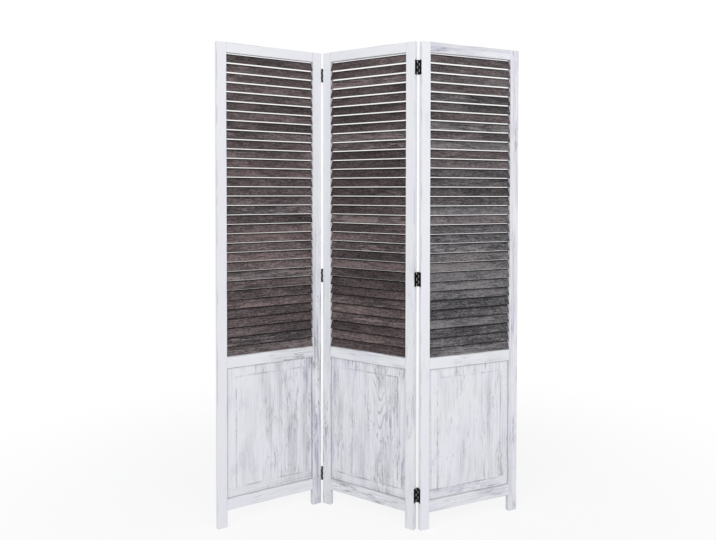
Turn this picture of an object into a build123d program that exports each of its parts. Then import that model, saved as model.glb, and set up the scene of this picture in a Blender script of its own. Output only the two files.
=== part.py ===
from build123d import *
import os
from dataclasses import dataclass
from math import cos, radians, sin

# Three-panel folding screen, louvred above and boarded below, standing in a zigzag.
# Millimetres, Z up, X to the viewer's right, Y away from the viewer.
# The origin is on the floor, under the middle of the standing screen.

# Frame of one panel
panel_height = 1700.0
panel_width = 400.0
frame_thickness = 18.0
stile_width = 35.0
leg_height = 59.0
bottom_rail_height = 40.0
board_opening_height = 462.0
middle_rail_height = 40.0
top_rail_height = 35.0
edge_round = 1.2
leg_chamfer = 1.0

# Dowels that join the rails to the stiles
dowel_diameter = 6.0
dowel_length = 32.0
dowel_spacing = 14.0
dowel_fit = 0.1

# Louvre slats
slat_pitch = 33.17
slat_thickness = 3.6
slat_tilt = 65.3
slat_recess = 0.9
slat_round = 1.7
slat_housing_depth = 6.0
slat_fit = 0.15
lowest_slat_lift = 2.0
shortest_top_slat = 12.0

# Lower board with its raised field
board_thickness = 6.0
board_tongue = 6.5
groove_depth = 7.0
groove_fit = 0.15
board_margin = 1.5
bevel_rise = 1.4
field_inset = 34.0
field_rise = 0.7

# Hinges and their screws
panel_gap = 7.5
left_joint_lowest_hinge = 113.0
left_joint_highest_drop = 83.0
right_joint_lowest_hinge = 120.0
right_joint_highest_drop = 88.0
right_joint_centre_lift = 11.5
hinge_length = 50.0
knuckle_count = 5
knuckle_gap = 0.4
barrel_diameter = 6.4
barrel_proud = 0.6
pin_diameter = 3.0
pin_fit = 0.05
pin_head_height = 1.2
pin_tail = 0.6
leaf_thickness = 1.4
leaf_setback = 1.5
leaf_swing_clearance = 0.4
screws_per_leaf = 3
screw_spacing = 16.5
screw_stagger = 2.6
screw_head_diameter = 4.8
screw_shank_diameter = 2.4
screw_length = 14.0
screw_point = 2.0
screw_fit = 0.05

# Standing pose: the turn of each panel about the vertical, in degrees
left_yaw = 32.0
middle_yaw = -32.7
right_yaw = 24.6

# Heights that follow from the frame
bottom_rail_top = leg_height + bottom_rail_height
board_top = bottom_rail_top + board_opening_height
louvre_bottom = board_top + middle_rail_height
louvre_top = panel_height - top_rail_height
opening_width = panel_width - 2 * stile_width
rails = {
    "bottom_rail": (leg_height, bottom_rail_height),
    "middle_rail": (board_top, middle_rail_height),
    "top_rail": (louvre_top, top_rail_height),
}

# Slat section: the tilted board fills the frame's depth between the two recesses
slat_rise_angle = radians(slat_tilt)
slat_core_depth = frame_thickness - 2 * slat_recess - 2 * slat_round
slat_core_thickness = slat_thickness - 2 * slat_round
slat_core_width = (slat_core_depth - slat_core_thickness * sin(slat_rise_angle)) / cos(
    slat_rise_angle
)
slat_width = slat_core_width + 2 * slat_round
slat_height = (
    slat_core_width * sin(slat_rise_angle)
    + slat_core_thickness * cos(slat_rise_angle)
    + 2 * slat_round
)
slat_room = louvre_top - louvre_bottom - lowest_slat_lift - shortest_top_slat
slat_count = int(slat_room / slat_pitch) + 1
slat_feet = [louvre_bottom + lowest_slat_lift + i * slat_pitch for i in range(slat_count)]

# Hinge places: distances from a panel's end face and its front or back face
half_gap = panel_gap / 2
barrel_radius = barrel_diameter / 2
knuckle_step = hinge_length / knuckle_count
plate_start = barrel_radius + leaf_swing_clearance
plate_end = frame_thickness + barrel_proud - leaf_setback


def turned(x, y, yaw):
    """The plan point x, y turned by yaw degrees about the vertical."""
    turn = radians(yaw)
    return Vector(x * cos(turn) - y * sin(turn), x * sin(turn) + y * cos(turn), 0)


def level_heights(lowest, highest_drop, centre_lift=0.0):
    """Heights of a joint's hinges: the centre one is halfway, apart from its lift."""
    highest = panel_height - highest_drop
    return {"lower": lowest, "centre": (lowest + highest) / 2 + centre_lift, "upper": highest}


@dataclass
class Panel:
    """One leaf of the screen, in its own axes.

    x runs along its width from its left end, depth runs back from its front face.
    """

    name: str
    corner: Vector
    yaw: float

    def point(self, x, depth, z=0.0):
        return self.corner + turned(x, depth, self.yaw) + Vector(0, 0, z)

    def place(self, piece, height=0.0):
        """A piece made on the pattern panel, set in this panel and raised by a height."""
        return self.level_plane(height).location * piece

    def level_plane(self, z):
        """Horizontal plane: sketch x is the width, sketch y the depth."""
        return Plane(origin=self.point(0, 0, z), x_dir=turned(1, 0, self.yaw), z_dir=(0, 0, 1))

    def section_plane(self, x):
        """Plane across the width: sketch x is the depth, sketch y the height."""
        return Plane(
            origin=self.point(x, 0),
            x_dir=turned(0, 1, self.yaw),
            z_dir=turned(1, 0, self.yaw),
        )

    def face_plane(self, depth):
        """Plane parallel to the front: sketch x is the width, sketch y the height."""
        return Plane(
            origin=self.point(0, depth),
            x_dir=turned(1, 0, self.yaw),
            z_dir=turned(0, -1, self.yaw),
        )


def place_panels():
    """The three panels and their two hinge axes, in plan, centred on the origin."""
    left_axis_in_middle = turned(-half_gap, -barrel_proud, middle_yaw)
    left_corner = left_axis_in_middle - turned(panel_width + half_gap, -barrel_proud, left_yaw)
    back_axis_depth = frame_thickness + barrel_proud
    right_axis_in_middle = turned(panel_width + half_gap, back_axis_depth, middle_yaw)
    right_corner = right_axis_in_middle - turned(-half_gap, back_axis_depth, right_yaw)
    loose = [
        Panel("left", left_corner, left_yaw),
        Panel("middle", Vector(0, 0, 0), middle_yaw),
        Panel("right", right_corner, right_yaw),
    ]
    rounds = [
        p.point(x, depth)
        for p in loose
        for x in (edge_round, panel_width - edge_round)
        for depth in (edge_round, frame_thickness - edge_round)
    ]
    centre = Vector(
        (min(r.X for r in rounds) + max(r.X for r in rounds)) / 2,
        (min(r.Y for r in rounds) + max(r.Y for r in rounds)) / 2,
        0,
    )
    panels = [Panel(p.name, p.corner - centre, p.yaw) for p in loose]
    return panels, left_axis_in_middle - centre, right_axis_in_middle - centre


@dataclass
class HingeSide:
    """One end of a panel, where its hinge leaves are screwed on."""

    joint: str
    heights: dict
    panel: Panel
    at_right_end: bool
    at_back: bool
    has_outer_knuckles: bool

    def x(self, outward):
        """The width coordinate a distance outward from the end face."""
        return panel_width + outward if self.at_right_end else -outward

    def depth(self, inward):
        """The depth coordinate a distance inward from the barrel axis."""
        if self.at_back:
            return frame_thickness + barrel_proud - inward
        return inward - barrel_proud

    def knuckles(self):
        first = 0 if self.has_outer_knuckles else 1
        return range(first, knuckle_count, 2)


def span(a, b, c, d, mode=Mode.ADD):
    """A rectangle from a to b along the sketch's x and from c to d along its y."""
    with Locations(((a + b) / 2, (c + d) / 2)):
        Rectangle(abs(b - a), abs(d - c), mode=mode)


def save(part, name):
    part.label = name
    export_step(part, f"parts/{name}.step")


def slat_sections(x, grow, height_limit):
    """The sketch of all slat sections across the width at x, each grown by a fit."""
    centres = [(frame_thickness / 2, foot + slat_height / 2) for foot in slat_feet]
    with BuildSketch() as one_section:
        RectangleRounded(slat_width, slat_thickness, slat_round, rotation=slat_tilt)
        if grow > 0:
            offset(amount=grow)
    with BuildSketch(pattern.section_plane(x)) as sections:
        with Locations(*centres):
            add(one_section.sketch)
        span(0, frame_thickness, louvre_bottom, height_limit, mode=Mode.INTERSECT)
    return sections.sketch


def dowel_circles(x, radius, rail_names):
    """The sketch of the dowels' circles at the joint face at x, two for each rail."""
    centres = [
        (frame_thickness / 2, rails[name][0] + rails[name][1] / 2 + step)
        for name in rail_names
        for step in (-dowel_spacing / 2, dowel_spacing / 2)
    ]
    with BuildSketch(pattern.section_plane(x)) as circles:
        with Locations(*centres):
            Circle(radius)
    return circles.sketch


def screw_places():
    """Inward distance and height of each screw of one leaf, from the hinge's middle."""
    middle = (plate_start + plate_end) / 2
    first = -(screws_per_leaf - 1) / 2
    return [
        (middle + (screw_stagger if i % 2 else -screw_stagger), (first + i) * screw_spacing)
        for i in range(screws_per_leaf)
    ]


def turn_screws(side, hinge_height, grow, mode):
    """Countersunk screws, or the holes for them, driven into a panel's end."""
    head = screw_head_diameter / 2 + grow
    shank = screw_shank_diameter / 2 + grow
    tip = leaf_thickness - screw_length - grow
    outline = [
        (leaf_thickness, 0),
        (leaf_thickness, head),
        (0, shank),
        (tip + screw_point, shank),
        (tip, 0),
    ]
    out = (1 if side.at_right_end else -1, 0, 0)
    for inward, step in screw_places():
        seat = pattern.point(side.x(0), side.depth(inward), hinge_height + step)
        with BuildSketch(Plane(origin=seat, x_dir=out, z_dir=(0, 1, 0))) as half_profile:
            Polygon(*outline, align=None)
        revolve(half_profile.sketch, axis=Axis(seat, out), mode=mode)


def make_stile(left):
    """A full-height upright with slat housings, board groove and dowel holes."""
    outer = 0 if left else panel_width
    inner = stile_width if left else panel_width - stile_width
    into = -1 if left else 1
    middle = frame_thickness / 2
    groove_half = board_thickness / 2 + groove_fit
    with BuildPart() as stile:
        with BuildSketch(pattern.level_plane(0)) as outline:
            span(outer, inner, 0, frame_thickness)
            fillet(outline.vertices(), edge_round)
        extrude(amount=panel_height)
        chamfer(stile.faces().sort_by(Axis.Z)[0].edges(), leg_chamfer)
        extrude(
            slat_sections(inner + into * slat_housing_depth, slat_fit, louvre_top),
            amount=-into * slat_housing_depth,
            mode=Mode.SUBTRACT,
        )
        with BuildSketch(pattern.level_plane(bottom_rail_top - groove_depth)):
            span(inner, inner + into * groove_depth, middle - groove_half, middle + groove_half)
        extrude(amount=board_opening_height + 2 * groove_depth, mode=Mode.SUBTRACT)
        extrude(
            dowel_circles(inner, dowel_diameter / 2 + dowel_fit, rails),
            amount=into * (dowel_length / 2 + dowel_fit),
            mode=Mode.SUBTRACT,
        )
    return stile.part


def make_rail(name):
    """A cross rail between the stiles, grooved where it holds the board."""
    bottom, height = rails[name]
    left, right = stile_width, panel_width - stile_width
    middle = frame_thickness / 2
    groove_half = board_thickness / 2 + groove_fit
    groove_floors = {"bottom_rail": bottom + height, "middle_rail": bottom}
    bore = dowel_length / 2 + dowel_fit
    with BuildPart() as rail:
        with BuildSketch(pattern.section_plane(left)) as section:
            span(0, frame_thickness, bottom, bottom + height)
            fillet(section.vertices(), edge_round)
            if name in groove_floors:
                edge = groove_floors[name]
                deep = groove_depth if edge == bottom else -groove_depth
                span(middle - groove_half, middle + groove_half, edge, edge + deep, Mode.SUBTRACT)
        extrude(amount=opening_width)
        for x, inward in ((left, 1), (right, -1)):
            extrude(
                dowel_circles(x, dowel_diameter / 2 + dowel_fit, [name]),
                amount=inward * bore,
                mode=Mode.SUBTRACT,
            )
    return rail.part


def make_dowels():
    """The glued dowels, half in each rail end and half in the stile."""
    with BuildPart() as dowels:
        for x in (stile_width, panel_width - stile_width):
            circles = dowel_circles(x, dowel_diameter / 2, rails)
            extrude(circles, amount=dowel_length / 2, both=True)
    return dowels.part


def make_slats():
    """The louvre slats, their ends held in the stile housings."""
    end_room = slat_housing_depth - slat_fit
    with BuildPart() as slats:
        extrude(
            slat_sections(stile_width - end_room, 0, louvre_top - slat_fit),
            amount=opening_width + 2 * end_room,
        )
    return slats.part


def board_rectangle(depth, inset):
    """The board opening's rectangle at a depth, drawn in by an inset on all sides."""
    with BuildSketch(pattern.face_plane(depth)) as rectangle:
        span(
            stile_width + inset,
            panel_width - stile_width - inset,
            bottom_rail_top + inset,
            board_top - inset,
        )
    return rectangle.sketch


def make_board():
    """The lower board: a tongue in the grooves, bevelled margins and a raised field."""
    middle = frame_thickness / 2
    with BuildPart() as board:
        tongue_sheet = board_rectangle(middle - board_thickness / 2, -board_tongue)
        extrude(tongue_sheet, amount=-board_thickness)
        for side in (-1, 1):
            bevel_foot = middle + side * board_thickness / 2
            bevel_top = bevel_foot + side * bevel_rise
            field = board_rectangle(bevel_top, field_inset)
            loft([board_rectangle(bevel_foot, board_margin).face(), field.face()])
            extrude(field, amount=-side * field_rise)
    return board.part


def knuckle_span(index):
    """Bottom and top of one knuckle, from the hinge's middle, counted from below."""
    bottom = index * knuckle_step - hinge_length / 2
    return bottom + knuckle_gap / 2, bottom + knuckle_step - knuckle_gap / 2


def make_leaf(side):
    """A hinge leaf: a plate on the panel's end face and its rolled knuckles."""
    axis = (side.x(half_gap), side.depth(0))
    with BuildPart() as leaf:
        with BuildSketch(pattern.level_plane(-hinge_length / 2)):
            span(side.x(0), side.x(leaf_thickness), side.depth(plate_start), side.depth(plate_end))
        extrude(amount=hinge_length)
        for index in side.knuckles():
            bottom, top = knuckle_span(index)
            with BuildSketch(pattern.level_plane(bottom)):
                with Locations(axis):
                    Circle(barrel_radius)
                span(side.x(0), side.x(leaf_thickness), side.depth(0), side.depth(plate_start))
                with Locations(axis):
                    Circle(pin_diameter / 2 + pin_fit, mode=Mode.SUBTRACT)
            extrude(amount=top - bottom)
        turn_screws(side, 0, screw_fit, Mode.SUBTRACT)
    return leaf.part


def make_pin(side):
    """The hinge pin, its head resting on the top knuckle."""
    axis = (side.x(half_gap), side.depth(0))
    tail = knuckle_span(0)[0] - pin_tail
    seat = knuckle_span(knuckle_count - 1)[1]
    with BuildPart() as pin:
        with BuildSketch(pattern.level_plane(tail)):
            with Locations(axis):
                Circle(pin_diameter / 2)
        extrude(amount=seat - tail)
        with BuildSketch(pattern.level_plane(seat)):
            with Locations(axis):
                Circle(barrel_radius)
        extrude(amount=pin_head_height)
        fillet(pin.edges().group_by(Axis.Z)[-1], pin_head_height / 2)
    return pin.part


def save_panel(panel, pieces, hinge_sides):
    """Place a panel's pieces, drilling the stiles that carry hinges."""
    for name, piece in pieces.items():
        if name in hinge_sides:
            with BuildPart() as drilled:
                add(piece)
                for height in hinge_sides[name].heights.values():
                    turn_screws(hinge_sides[name], height, screw_fit, Mode.SUBTRACT)
            piece = drilled.part
        save(panel.place(piece), f"{panel.name}_panel_{name}")


def save_hinge_side(side):
    """Place the leaves on a panel's end, with all their screws."""
    leaf = make_leaf(side)
    for level, height in side.heights.items():
        save(side.panel.place(leaf, height), f"{side.joint}_{level}_hinge_{side.panel.name}_leaf")
    with BuildPart() as screws:
        for height in side.heights.values():
            turn_screws(side, height, 0, Mode.ADD)
    save(side.panel.place(screws.part), f"{side.joint}_{side.panel.name}_panel_hinge_screws")
    if side.has_outer_knuckles:
        pin = make_pin(side)
        for level, height in side.heights.items():
            save(side.panel.place(pin, height), f"{side.joint}_{level}_hinge_pin")


os.makedirs("parts", exist_ok=True)
pattern = Panel("pattern", Vector(0, 0, 0), 0)
(left_panel, middle_panel, right_panel), left_axis, right_axis = place_panels()
left_heights = level_heights(left_joint_lowest_hinge, left_joint_highest_drop)
right_heights = level_heights(
    right_joint_lowest_hinge, right_joint_highest_drop, right_joint_centre_lift
)
left_outer = HingeSide("left_joint", left_heights, left_panel, True, False, False)
left_inner = HingeSide("left_joint", left_heights, middle_panel, False, False, True)
right_inner = HingeSide("right_joint", right_heights, middle_panel, True, True, False)
right_outer = HingeSide("right_joint", right_heights, right_panel, False, True, True)

pieces = {
    "left_stile": make_stile(left=True),
    "right_stile": make_stile(left=False),
    "dowels": make_dowels(),
    "slats": make_slats(),
    "board": make_board(),
}
for rail_name in rails:
    pieces[rail_name] = make_rail(rail_name)
save_panel(left_panel, pieces, {"right_stile": left_outer})
save_panel(middle_panel, pieces, {"left_stile": left_inner, "right_stile": right_inner})
save_panel(right_panel, pieces, {"left_stile": right_outer})
for hinge_side in (left_outer, left_inner, right_inner, right_outer):
    save_hinge_side(hinge_side)

print("left joint axis", round(left_axis.X, 3), round(left_axis.Y, 3))
print("right joint axis", round(right_axis.X, 3), round(right_axis.Y, 3))
print("slats per panel", slat_count, "width", round(slat_width, 2), "height", round(slat_height, 2))
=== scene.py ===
from math import cos, radians, sin, tau

import bpy
from mathutils import Matrix, Vector


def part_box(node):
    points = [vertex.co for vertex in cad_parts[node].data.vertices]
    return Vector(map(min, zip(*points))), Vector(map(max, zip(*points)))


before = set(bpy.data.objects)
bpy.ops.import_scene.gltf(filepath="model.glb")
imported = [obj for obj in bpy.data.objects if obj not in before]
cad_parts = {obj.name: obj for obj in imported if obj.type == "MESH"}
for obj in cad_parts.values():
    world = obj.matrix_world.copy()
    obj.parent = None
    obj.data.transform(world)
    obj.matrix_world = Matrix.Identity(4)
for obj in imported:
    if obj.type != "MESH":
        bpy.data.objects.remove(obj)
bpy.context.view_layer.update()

# Camera: the photograph's viewing angle, in the frame of a 716 by 540 picture
PICTURE_WIDTH = 716
PICTURE_HEIGHT = 540
FOCAL_PIXELS = 689.9
VANISHING_X = 390.7
LEVEL_Y = 206.4
SENSOR_WIDTH = 36.0
CAMERA_PLACE = Vector((0.0706, -2.4972, 1.1799))
CAMERA_PITCH = radians(1.169)
CAMERA_ROLL = radians(0.123)

# Light and floor
WORLD_STRENGTH = 0.72
LAMP_WIDTH = 2.4
LAMP_AIM = Vector((0, 0, 0.9))
FLOOR_REACH = 30.0
SHADOW_SHARE = 0.80
SHADOW_FADE = (0.7, 2.2)

# Panels: how far each is turned about the vertical as the screen stands
PANEL_YAW = {"left": radians(32.0), "middle": radians(-32.7), "right": radians(24.6)}

# Half sizes of the pieces: width, depth and height
STILE_HALF = (0.0175, 0.009, 0.85)
RAIL_HALF = (0.165, 0.009, 0.020)
TOP_RAIL_HALF = (0.165, 0.009, 0.0175)
BOARD_HALF = (0.165, 0.0051, 0.231)

# Boards: the inset of the raised field, and the pitch of the grain's arches
FIELD_INSET = 0.034
ARCH_PITCH = 0.05

# Slats: their pitch, the heights that tone and hue change between, and the painted shade on the
# upper band of each slat
SLAT_PITCH = 0.03317
TONE_HEIGHTS = (0.6, 1.6)
HUE_HEIGHTS = (0.75, 1.45)
PAINTED_SHADE_SPAN = (0.75, 0.87)
PAINTED_SHADE_SHARE = 0.72

# Colours, linear
LAVENDER_WHITE = (0.815, 0.808, 0.855, 1)
COOL_WHITE = (0.815, 0.825, 0.845, 1)
WASH_GREY = (0.395, 0.395, 0.425, 1)
WASH_BLUE = (0.400, 0.405, 0.490, 1)
# the dark wash colour, also used as painted shade in the groove round each board
DARK_WASH_AND_SHADE = (0.180, 0.180, 0.205, 1)
# painted shade colour for the upper band of each slat
PAINTED_SLAT_SHADE = (0.020, 0.019, 0.019, 1)
STEEL_BLACK = (0.012, 0.012, 0.014, 1)
STEEL_RUBBED = (0.05, 0.05, 0.055, 1)
BEECH_PALE = (0.62, 0.44, 0.26, 1)
BEECH_DEEP = (0.45, 0.30, 0.16, 1)
SOFT_DAYLIGHT = (0.97, 0.98, 1.0, 1)
FLOOR_COOL = (0.86, 0.86, 0.87, 1)
FLOOR_PALE = (0.90, 0.90, 0.90, 1)
STAIN_WARM = [
    (0.10, (0.024, 0.020, 0.020, 1)),
    (0.40, (0.068, 0.053, 0.054, 1)),
    (0.65, (0.122, 0.094, 0.096, 1)),
    (0.95, (0.250, 0.190, 0.185, 1)),
]
STAIN_GREY = [
    (0.10, (0.026, 0.026, 0.026, 1)),
    (0.40, (0.070, 0.067, 0.070, 1)),
    (0.65, (0.125, 0.119, 0.126, 1)),
    (0.95, (0.240, 0.225, 0.230, 1)),
]

# Paint: how worn each piece is, with factors at its low and high or left and right ends
LOOKS = {
    "left": {
        "left_stile": {"wear": 0.18},
        "right_stile": {"wear": 2.30, "low_high": (1.0, 0.10)},
        "top_rail": {"wear": 0.12},
        "middle_rail": {"wear": 1.60, "left_right": (0.06, 1.0)},
        "bottom_rail": {"wear": 0.45},
        "board": {"wear": 0.88, "left_right": (0.62, 1.50)},
    },
    "middle": {
        "left_stile": {"wear": 0.95, "low_high": (1.0, 0.25)},
        "right_stile": {"wear": 0.60, "low_high": (1.0, 0.20)},
        "top_rail": {"wear": 0.15},
        "middle_rail": {"wear": 0.70},
        "bottom_rail": {"wear": 1.10},
        "board": {"wear": 1.22},
    },
    "right": {
        "left_stile": {"wear": 0.30, "low_high": (0.5, 1.0)},
        "right_stile": {"wear": 1.15, "low_high": (1.0, 0.70)},
        "top_rail": {"wear": 1.00},
        "middle_rail": {"wear": 0.45},
        "bottom_rail": {"wear": 1.25},
        "board": {"wear": 0.85, "left_right": (0.85, 1.20)},
    },
}

# Boards: the strengths of the field's line and of the cross-brushed foot, and the grain's arches
BOARDS = {
    "left": {
        "line": 0.42,
        "foot_band": 0.6,
        "arches": {"strength": 0.30, "middle": 0.07, "slope": 7.0, "width": 0.04},
    },
    "middle": {
        "line": 0.52,
        "foot_band": 0.5,
        "arches": {"strength": 0.62, "middle": 0.062, "slope": -3.6, "width": 0.042},
    },
    "right": {"line": 0.46, "foot_band": 0.95, "arches": None},
}

# Slats: lightness and greyness of the stain, at the lowest and the highest slats
SLAT_TONES = {"left": (1.12, 1.04), "middle": (1.02, 0.96), "right": (1.30, 1.06)}
SLAT_COOL = {"left": (0.22, 0.18), "middle": (0.0, 0.05), "right": (1.0, 0.50)}


def make_camera():
    """A camera set from its pitch and roll, with the picture's offset as lens shift."""
    forward = Vector((0, cos(CAMERA_PITCH), -sin(CAMERA_PITCH)))
    level_right = Vector((1, 0, 0))
    level_up = level_right.cross(forward)
    right = level_right * cos(CAMERA_ROLL) + level_up * sin(CAMERA_ROLL)
    up = level_up * cos(CAMERA_ROLL) - level_right * sin(CAMERA_ROLL)
    data = bpy.data.cameras.new("photo_camera")
    data.sensor_width = SENSOR_WIDTH
    data.lens = FOCAL_PIXELS * SENSOR_WIDTH / PICTURE_WIDTH
    data.shift_x = (PICTURE_WIDTH / 2 - VANISHING_X) / PICTURE_WIDTH
    data.shift_y = (LEVEL_Y - PICTURE_HEIGHT / 2) / PICTURE_WIDTH
    camera = bpy.data.objects.new("photo_camera", data)
    turn = Matrix((right, up, -forward)).transposed().to_4x4()
    camera.matrix_world = Matrix.Translation(CAMERA_PLACE) @ turn
    bpy.context.scene.collection.objects.link(camera)
    bpy.context.scene.camera = camera


class Graph:
    """A short way to write the nodes of a material or of the world."""

    def __init__(self, owner, output="OutputMaterial"):
        self.owner = owner
        owner.use_nodes = True
        self.tree = owner.node_tree
        self.tree.nodes.clear()
        self.output = self.node(output)

    def node(self, kind, **settings):
        made = self.tree.nodes.new("ShaderNode" + kind)
        for key, value in settings.items():
            setattr(made, key, value)
        return made

    def feed(self, socket, value):
        """Link a socket to another's output, or set its value."""
        if isinstance(value, bpy.types.NodeSocket):
            self.tree.links.new(value, socket)
        else:
            socket.default_value = value

    def math(self, operation, a, b=0.0, c=0.0):
        made = self.node("Math", operation=operation)
        for socket, value in zip(made.inputs, (a, b, c)):
            self.feed(socket, value)
        return made.outputs[0]

    def times(self, a, b):
        return self.math("MULTIPLY", a, b)

    def step(self, value, low, high, bottom=0.0, top=1.0):
        """A smooth step of value from low to high, from bottom to top."""
        made = self.node("MapRange", interpolation_type="SMOOTHSTEP")
        names = ("Value", "From Min", "From Max", "To Min", "To Max")
        for name, given in zip(names, (value, low, high, bottom, top)):
            self.feed(made.inputs[name], given)
        return made.outputs[0]

    def mix(self, share, a, b):
        """A colour from a to b."""
        made = self.node("Mix", data_type="RGBA")
        self.feed(made.inputs[0], share)
        self.feed(made.inputs[6], a)
        self.feed(made.inputs[7], b)
        return made.outputs[2]

    def ramp(self, share, stops):
        """A colour from a list of positions and colours."""
        made = self.node("ValToRGB")
        elements = made.color_ramp.elements
        for element, (position, colour) in zip((elements[0], elements[1]), (stops[0], stops[-1])):
            element.position = position
            element.color = colour
        for position, colour in stops[1:-1]:
            elements.new(position).color = colour
        self.feed(made.inputs[0], share)
        return made.outputs[0]

    def place(self):
        return self.node("TexCoord").outputs["Object"]

    def aligned(self, yaw, centre=(0, 0, 0)):
        """Object coordinates along a panel's width, depth and height, from a centre."""
        moved = self.node("VectorMath", operation="SUBTRACT")
        self.feed(moved.inputs[0], self.place())
        moved.inputs[1].default_value = centre
        turned = self.node("Mapping")
        self.feed(turned.inputs["Vector"], moved.outputs[0])
        turned.inputs["Rotation"].default_value = (0, 0, -yaw)
        return turned.outputs[0]

    def noise(self, vector, scale, offset=0.0, detail=3.0, roughness=0.55, distortion=0.0):
        """Noise stretched by a scale per metre on each axis."""
        stretch = self.node("Mapping")
        self.feed(stretch.inputs["Vector"], vector)
        stretch.inputs["Scale"].default_value = scale
        stretch.inputs["Location"].default_value = (offset, offset * 1.7, offset * 2.3)
        made = self.node("TexNoise")
        self.feed(made.inputs["Vector"], stretch.outputs[0])
        made.inputs["Scale"].default_value = 1.0
        made.inputs["Detail"].default_value = detail
        made.inputs["Roughness"].default_value = roughness
        made.inputs["Distortion"].default_value = distortion
        return made.outputs[0]

    def pick(self, count, offset):
        """A random number for each whole number."""
        made = self.node("TexWhiteNoise", noise_dimensions="1D")
        self.feed(made.inputs["W"], self.math("ADD", count, offset))
        return made.outputs[0]

    def split(self, vector):
        made = self.node("SeparateXYZ")
        self.feed(made.inputs[0], vector)
        return made.outputs

    def seen(self):
        """1 for rays from the camera, off a glossy surface or through a clear one, else 0."""
        rays = self.node("LightPath").outputs
        camera_or_glossy = self.math("MAXIMUM", rays["Is Camera Ray"], rays["Is Glossy Ray"])
        return self.math("MAXIMUM", camera_or_glossy, rays["Is Transmission Ray"])

    def blend(self, share, first, second):
        """Put out a mix of two shaders."""
        mixed = self.node("MixShader")
        for socket, value in zip(mixed.inputs, (share, first.outputs[0], second.outputs[0])):
            self.feed(socket, value)
        self.feed(self.output.inputs[0], mixed.outputs[0])

    def surface(self, colour, roughness, height, depth, metallic=0.0, gloss=0.35):
        """Put out a surface with a bump, and return its material."""
        shader = self.node("BsdfPrincipled")
        self.feed(shader.inputs["Base Color"], colour)
        self.feed(shader.inputs["Roughness"], roughness)
        shader.inputs["Metallic"].default_value = metallic
        shader.inputs["Specular IOR Level"].default_value = gloss
        bump = self.node("Bump")
        bump.inputs["Strength"].default_value = 0.6
        bump.inputs["Distance"].default_value = depth
        self.feed(bump.inputs["Height"], height)
        self.feed(shader.inputs["Normal"], bump.outputs[0])
        self.feed(self.output.inputs[0], shader.outputs[0])
        return self.owner


def material_graph(name):
    return Graph(bpy.data.materials.new(name))


def along_grain(axis, across, along):
    """A noise scale that is fine across the grain and long along it."""
    return (along, across, across) if axis == "x" else (across, across, along)


def inset(g, coordinate, half_length):
    """How far inside the piece's two opposite faces a point lies."""
    return g.math("SUBTRACT", half_length, g.math("ABSOLUTE", coordinate))


def ramp_along(g, coordinate, half_length, factors):
    """A factor that changes smoothly from a piece's low end to its high end."""
    return g.step(coordinate, -half_length * 0.6, half_length * 0.6, *factors)


def worn_edges(g, place, half, axis, seed):
    """Where the paint has rubbed thin along the long edges of a frame piece."""
    x, y, z = g.split(place)
    wide, half_wide = (z, half[2]) if axis == "x" else (x, half[0])
    corner = g.math("MAXIMUM", inset(g, wide, half_wide), inset(g, y, half[1]))
    edge = g.step(corner, 0.0006, 0.0030, 1.0, 0.0)
    broken = g.step(g.noise(place, along_grain(axis, 60, 9), seed + 41), 0.46, 0.62)
    return g.times(edge, broken)


def brushed_streaks(g, place, axis, seed):
    """Grey wood showing between the brush hairs: broad washes, long lines, streaks, specks."""
    wash = g.noise(place, along_grain(axis, 34, 4), seed + 3.1, detail=2.0)
    lines = g.noise(place, along_grain(axis, 240, 4), seed + 14.9, roughness=0.6)
    short = g.noise(place, along_grain(axis, 150, 15), seed + 5.7, detail=5.0, roughness=0.66)
    speck = g.noise(place, along_grain(axis, 330, 60), seed + 8.3, roughness=0.65)
    here = g.noise(place, along_grain(axis, 24, 6), seed + 19.3)
    wash = g.step(wash, 0.44, 0.70)
    lines = g.step(lines, 0.46, 0.66)
    short = g.step(short, 0.50, 0.64)
    speck = g.step(speck, 0.50, 0.66)
    here = g.step(here, 0.47, 0.64)
    even = g.math("MULTIPLY_ADD", wash, 0.26, g.times(lines, 0.26))
    rough = g.math("MULTIPLY_ADD", short, 0.66, g.times(speck, 0.42))
    return g.math("MULTIPLY_ADD", rough, g.math("MULTIPLY_ADD", here, 0.85, 0.15), even)


def field_border(g, place, seed, half, strength):
    """Painted shade in the groove round the board, and a broken dark line along the edge of its
    raised field.
    """
    x, _, z = g.split(place)
    inside = g.math("MINIMUM", inset(g, x, half[0]), inset(g, z, half[2]))
    # painted shade: the board darkens within a few millimetres of its edges, in the groove where
    # the frame shades it
    groove_shade = g.step(inside, 0.0012, 0.0046, 1.0, 0.0)
    off_line = g.math("ABSOLUTE", g.math("SUBTRACT", inside, FIELD_INSET))
    line = g.step(off_line, 0.0010, 0.0036, 1.0, 0.0)
    gaps = g.noise(place, (17, 17, 17), seed + 51, detail=5.0, roughness=0.7)
    line = g.times(g.times(line, g.step(gaps, 0.42, 0.62, 0.08, 1.0)), strength)
    return g.math("MAXIMUM", g.times(groove_shade, 0.55), line)


def foot_band(g, place, seed, half, streak, patch, strength):
    """Cross-brushed paint below the board's raised field, worked into its streaks."""
    from_foot = g.math("ADD", g.split(place)[2], half[2])
    in_band = g.step(from_foot, FIELD_INSET, FIELD_INSET + 0.006, 1.0, 0.0)
    share = g.times(in_band, strength)
    kept = g.times(streak, g.math("SUBTRACT", 1.0, share))
    crossways = brushed_streaks(g, place, "x", seed + 61)
    streak = g.math("MULTIPLY_ADD", crossways, g.times(share, 1.35), kept)
    return streak, g.math("MAXIMUM", patch, g.times(share, 0.9))


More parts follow.
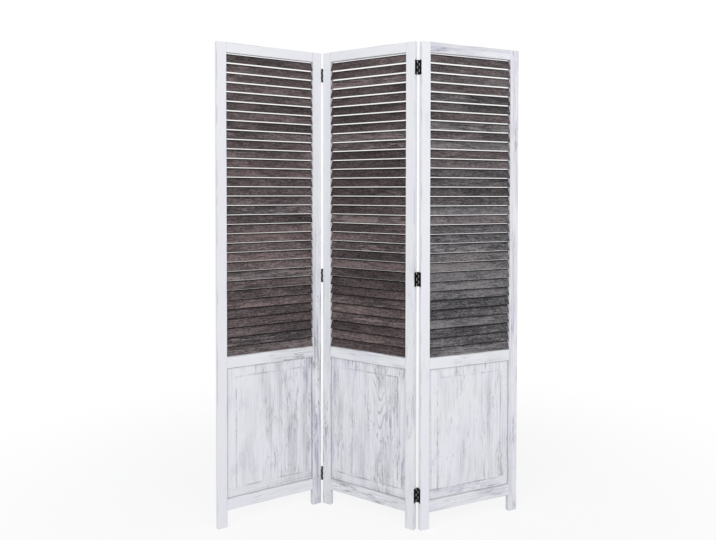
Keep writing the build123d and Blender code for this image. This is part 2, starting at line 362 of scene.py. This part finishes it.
def cathedral(g, place, seed, streak, strength, middle, slope, width):
    """Faint nested arches of grain about a line up a board, added to its streaks."""
    x, _, z = g.split(place)
    wander = g.noise(place, (14, 14, 4), seed + 17, detail=1.0)
    wander = g.math("MULTIPLY_ADD", wander, 0.06, -0.03)
    offset = g.math("ADD", g.math("SUBTRACT", x, middle), wander)
    bow = g.math("SQRT", g.math("MULTIPLY_ADD", offset, offset, 0.00030))
    level = g.math("MULTIPLY_ADD", bow, slope, z)
    rough = g.noise(place, (40, 40, 9), seed + 23)
    phase = g.math("MULTIPLY_ADD", rough, 5.0, g.times(level, tau / ARCH_PITCH))
    line = g.step(g.math("SINE", phase), 0.45, 1.0)
    near = g.step(bow, width * 0.5, width * 1.4, 1.0, 0.0)
    faint = g.noise(place, (26, 26, 8), seed + 31, detail=2.0)
    faint = g.step(faint, 0.40, 0.62, 0.15, 1.0)
    arch = g.times(g.times(line, near), g.times(faint, strength))
    return g.math("MAXIMUM", streak, arch)


def flecks(g, place, axis, seed):
    """Small dark flecks, in patches."""
    fleck = g.noise(place, along_grain(axis, 190, 30), seed + 21)
    patch = g.noise(place, along_grain(axis, 40, 9), seed + 29, detail=1.0)
    return g.times(g.step(fleck, 0.60, 0.70), g.step(patch, 0.55, 0.66))


def whitewash(
    name, yaw, axis, seed, half, centre, board, wear, low_high=(1, 1), left_right=(1, 1)
):
    """Whitewashed wood: white paint brushed along the grain, thin over grey wood.

    wear is how much grey shows, where 0 is fresh paint and 1 is well worn; low_high and
    left_right are factors on it at the piece's ends. board is None but on a lower board.
    """
    g = material_graph(name)
    place = g.aligned(yaw, centre)
    x, _, z = g.split(place)
    upward = ramp_along(g, z, half[2], low_high)
    sideways = ramp_along(g, x, half[0], left_right)
    amount = g.times(g.times(upward, sideways), wear)
    cloud = g.noise(place, along_grain(axis, 13, 5), seed, detail=4.0, roughness=0.6)
    patch = g.step(g.math("MULTIPLY_ADD", amount, 0.34, cloud), 0.58, 0.76, 0.08, 1.0)
    streak = brushed_streaks(g, place, axis, seed)
    if board:
        # on a board: painted shade in its groove and a dark line along its field; on a frame
        # piece: rubbed paint along its edges
        edge_wear_and_shade = field_border(g, place, seed, half, board["line"])
        streak, patch = foot_band(g, place, seed, half, streak, patch, board["foot_band"])
        if board["arches"]:
            streak = cathedral(g, place, seed, streak, **board["arches"])
    else:
        edge_wear_and_shade = g.times(worn_edges(g, place, half, axis, seed), 0.40)
    grey = g.times(g.times(streak, patch), g.math("MULTIPLY_ADD", amount, 0.95, 0.15))
    fleck = g.times(flecks(g, place, axis, seed), amount)
    dark = g.math("MAXIMUM", g.times(fleck, 0.55), edge_wear_and_shade)
    tint = g.step(g.noise(place, (6, 6, 6), seed + 2.2, detail=1.0), 0.35, 0.65)
    colour = g.mix(tint, LAVENDER_WHITE, COOL_WHITE)
    colour = g.mix(grey, colour, g.mix(tint, WASH_BLUE, WASH_GREY))
    # darkened by flecks, rubbed edges and, on boards, painted shade in the groove
    colour = g.mix(dark, colour, DARK_WASH_AND_SHADE)
    relief = g.math("SUBTRACT", 1.0, g.math("MULTIPLY_ADD", streak, 0.6, grey))
    roughness = g.step(grey, 0.0, 0.8, 0.50, 0.76)
    return g.surface(colour, roughness, relief, depth=0.0003)


def slat_place(g, yaw, count, pick):
    """Each slat's own place in the noise, so that no two have the same figure."""
    shift = g.node("CombineXYZ")
    g.feed(shift.inputs[0], g.times(pick, 9.0))
    g.feed(shift.inputs[2], g.times(count, 3.7))
    moved = g.node("VectorMath", operation="ADD")
    g.feed(moved.inputs[0], g.aligned(yaw))
    g.feed(moved.inputs[1], shift.outputs[0])
    return moved.outputs[0]


def stained_slats(name, yaw, seed, foot, tones, greyness):
    """Dark-stained slats: each has its own tone and figure, with grain along its length, and
    painted shade on each slat's upper band, where the slat above shades it.
    """
    g = material_graph(name)
    height = g.split(g.place())[2]
    level = g.math("DIVIDE", g.math("SUBTRACT", height, foot), SLAT_PITCH)
    count = g.math("FLOOR", level)
    pick = g.pick(count, seed * 13.0)
    second = g.pick(count, seed * 29.0 + 0.5)
    own = slat_place(g, yaw, count, pick)
    cloud = g.noise(own, (5, 12, 16), seed, detail=2.0)
    streak = g.noise(own, (20, 190, 190), seed + 4, detail=4.0, roughness=0.68)
    fine = g.noise(own, (90, 300, 300), seed + 7, roughness=0.75)
    figure = g.noise(own, (7, 60, 60), seed + 9, detail=2.0, distortion=2.2)
    cloud = g.step(cloud, 0.34, 0.66)
    streak = g.step(streak, 0.36, 0.64)
    fine = g.step(fine, 0.41, 0.59)
    figure = g.times(g.step(figure, 0.52, 0.64), g.step(second, 0.70, 0.95))
    tone = g.math("MULTIPLY_ADD", pick, 0.28, g.times(cloud, 0.20))
    tone = g.math("MULTIPLY_ADD", streak, 0.26, tone)
    tone = g.math("MULTIPLY_ADD", fine, 0.32, tone)
    tone = g.math("MULTIPLY_ADD", figure, 0.42, tone)
    tone = g.times(tone, g.step(height, *TONE_HEIGHTS, *tones))
    hue = g.step(height, *HUE_HEIGHTS, *greyness)
    hue = g.math("MULTIPLY_ADD", g.math("SUBTRACT", second, 0.5), 0.5, hue)
    colour = g.mix(g.step(hue, 0.0, 1.0), g.ramp(tone, STAIN_WARM), g.ramp(tone, STAIN_GREY))
    # painted shade: each slat's upper band is darkened, standing in for the shadow of the slat
    # above
    painted_upper_shade = g.step(g.math("FRACT", level), *PAINTED_SHADE_SPAN)
    colour = g.mix(g.times(painted_upper_shade, PAINTED_SHADE_SHARE), colour, PAINTED_SLAT_SHADE)
    relief = g.math("MULTIPLY_ADD", streak, -0.6, g.times(fine, -0.4))
    roughness = g.step(streak, 0.0, 1.0, 0.78, 0.92)
    return g.surface(colour, roughness, relief, depth=0.0004, gloss=0.12)


def black_steel(name):
    """Black satin finish on steel, a little polished where it rubs."""
    g = material_graph(name)
    place = g.place()
    cloud = g.noise(place, (160, 160, 60), 4.0)
    scratch = g.step(g.noise(place, (900, 900, 60), 8.0, detail=2.0), 0.55, 0.8)
    colour = g.mix(g.times(scratch, 0.5), STEEL_BLACK, STEEL_RUBBED)
    roughness = g.step(cloud, 0.3, 0.7, 0.30, 0.48)
    return g.surface(colour, roughness, scratch, depth=0.00005, metallic=0.35)


def plain_beech(name):
    """Unpainted turned dowel wood."""
    g = material_graph(name)
    grain = g.noise(g.place(), (120, 120, 500), 2.0, detail=4.0)
    colour = g.mix(grain, BEECH_PALE, BEECH_DEEP)
    return g.surface(colour, g.step(grain, 0.3, 0.7, 0.5, 0.65), grain, depth=0.0001)


def dress(node, material):
    """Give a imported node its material."""
    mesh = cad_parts[node].data
    mesh.materials.clear()
    mesh.materials.append(material)


def centre_of(node):
    low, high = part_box(node)
    return (Vector(low) + Vector(high)) / 2


def half_size(piece):
    if piece.endswith("stile"):
        return STILE_HALF
    if piece == "board":
        return BOARD_HALF
    return TOP_RAIL_HALF if piece == "top_rail" else RAIL_HALF


def dress_frame_and_board(panel, order):
    """Paint a panel's frame and board, with a seed of its own for each piece."""
    for number, (piece, look) in enumerate(LOOKS[panel].items()):
        node = f"{panel}_panel_{piece}"
        seed = 3.0 + 11.3 * number + 47.0 * order
        axis = "x" if piece.endswith("rail") else "z"
        half = half_size(piece)
        centre = centre_of(node)
        board = BOARDS[panel] if piece == "board" else None
        name = f"{node}_paint"
        dress(node, whitewash(name, PANEL_YAW[panel], axis, seed, half, centre, board, **look))


def dress_slats(panel, order):
    """Stain a panel's slats, with a seed of its own for each panel."""
    node = f"{panel}_panel_slats"
    seed = 5.0 + 3.0 * order
    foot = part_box(node)[0][2]
    tones = SLAT_TONES[panel]
    greyness = SLAT_COOL[panel]
    dress(node, stained_slats(f"{node}_stain", PANEL_YAW[panel], seed, foot, tones, greyness))


def dress_hinges_and_dowels():
    steel = black_steel("black_steel")
    beech = plain_beech("dowel_beech")
    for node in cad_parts:
        if "hinge" in node:
            dress(node, steel)
        if node.endswith("dowels"):
            dress(node, beech)


def make_world():
    """White to the camera, a softer even light for the object."""
    world = bpy.data.worlds.new("studio")
    bpy.context.scene.world = world
    g = Graph(world, "OutputWorld")
    light = g.node("Background")
    light.inputs["Color"].default_value = SOFT_DAYLIGHT
    light.inputs["Strength"].default_value = WORLD_STRENGTH
    white = g.node("Background")
    white.inputs["Color"].default_value = (1, 1, 1, 1)
    white.inputs["Strength"].default_value = 1.0
    g.blend(g.seen(), light, white)


def make_lamp(name, place, power):
    """A round soft lamp aimed at the middle of the screen."""
    data = bpy.data.lights.new(name, "AREA")
    data.shape = "DISK"
    data.size = LAMP_WIDTH
    data.energy = power
    lamp = bpy.data.objects.new(name, data)
    lamp.rotation_euler = (LAMP_AIM - Vector(place)).to_track_quat("-Z", "Y").to_euler()
    lamp.location = place
    bpy.context.scene.collection.objects.link(lamp)


def make_floor():
    """A pale floor that stays white to the camera and takes a soft shadow."""
    mesh = bpy.data.meshes.new("floor")
    corners = [(-1, -1, 0), (1, -1, 0), (1, 1, 0), (-1, 1, 0)]
    corners = [(x * FLOOR_REACH, y * FLOOR_REACH, z) for x, y, z in corners]
    mesh.from_pydata(corners, [], [(0, 1, 2, 3)])
    floor = bpy.data.objects.new("floor", mesh)
    bpy.context.scene.collection.objects.link(floor)
    g = material_graph("floor_paper")
    place = g.place()
    speckle = g.noise(place, (40, 40, 40), 1.0, detail=2.0)
    diffuse = g.node("BsdfDiffuse")
    g.feed(diffuse.inputs[0], g.mix(speckle, FLOOR_COOL, FLOOR_PALE))
    glow = g.node("Emission")
    glow.inputs["Strength"].default_value = 1.0
    away = g.node("VectorMath", operation="LENGTH")
    g.feed(away.inputs[0], place)
    share = g.step(away.outputs["Value"], *SHADOW_FADE, SHADOW_SHARE, 1.0)
    g.blend(g.times(g.seen(), share), diffuse, glow)
    mesh.materials.append(g.owner)


bpy.context.scene.view_settings.view_transform = "Standard"
make_camera()
make_world()
make_floor()
make_lamp("left_softbox", (-1.5, -3.3, 2.7), 35)
make_lamp("right_softbox", (2.2, -3.1, 2.5), 29)
for order, panel in enumerate(PANEL_YAW):
    dress_frame_and_board(panel, order)
    dress_slats(panel, order)
dress_hinges_and_dowels()
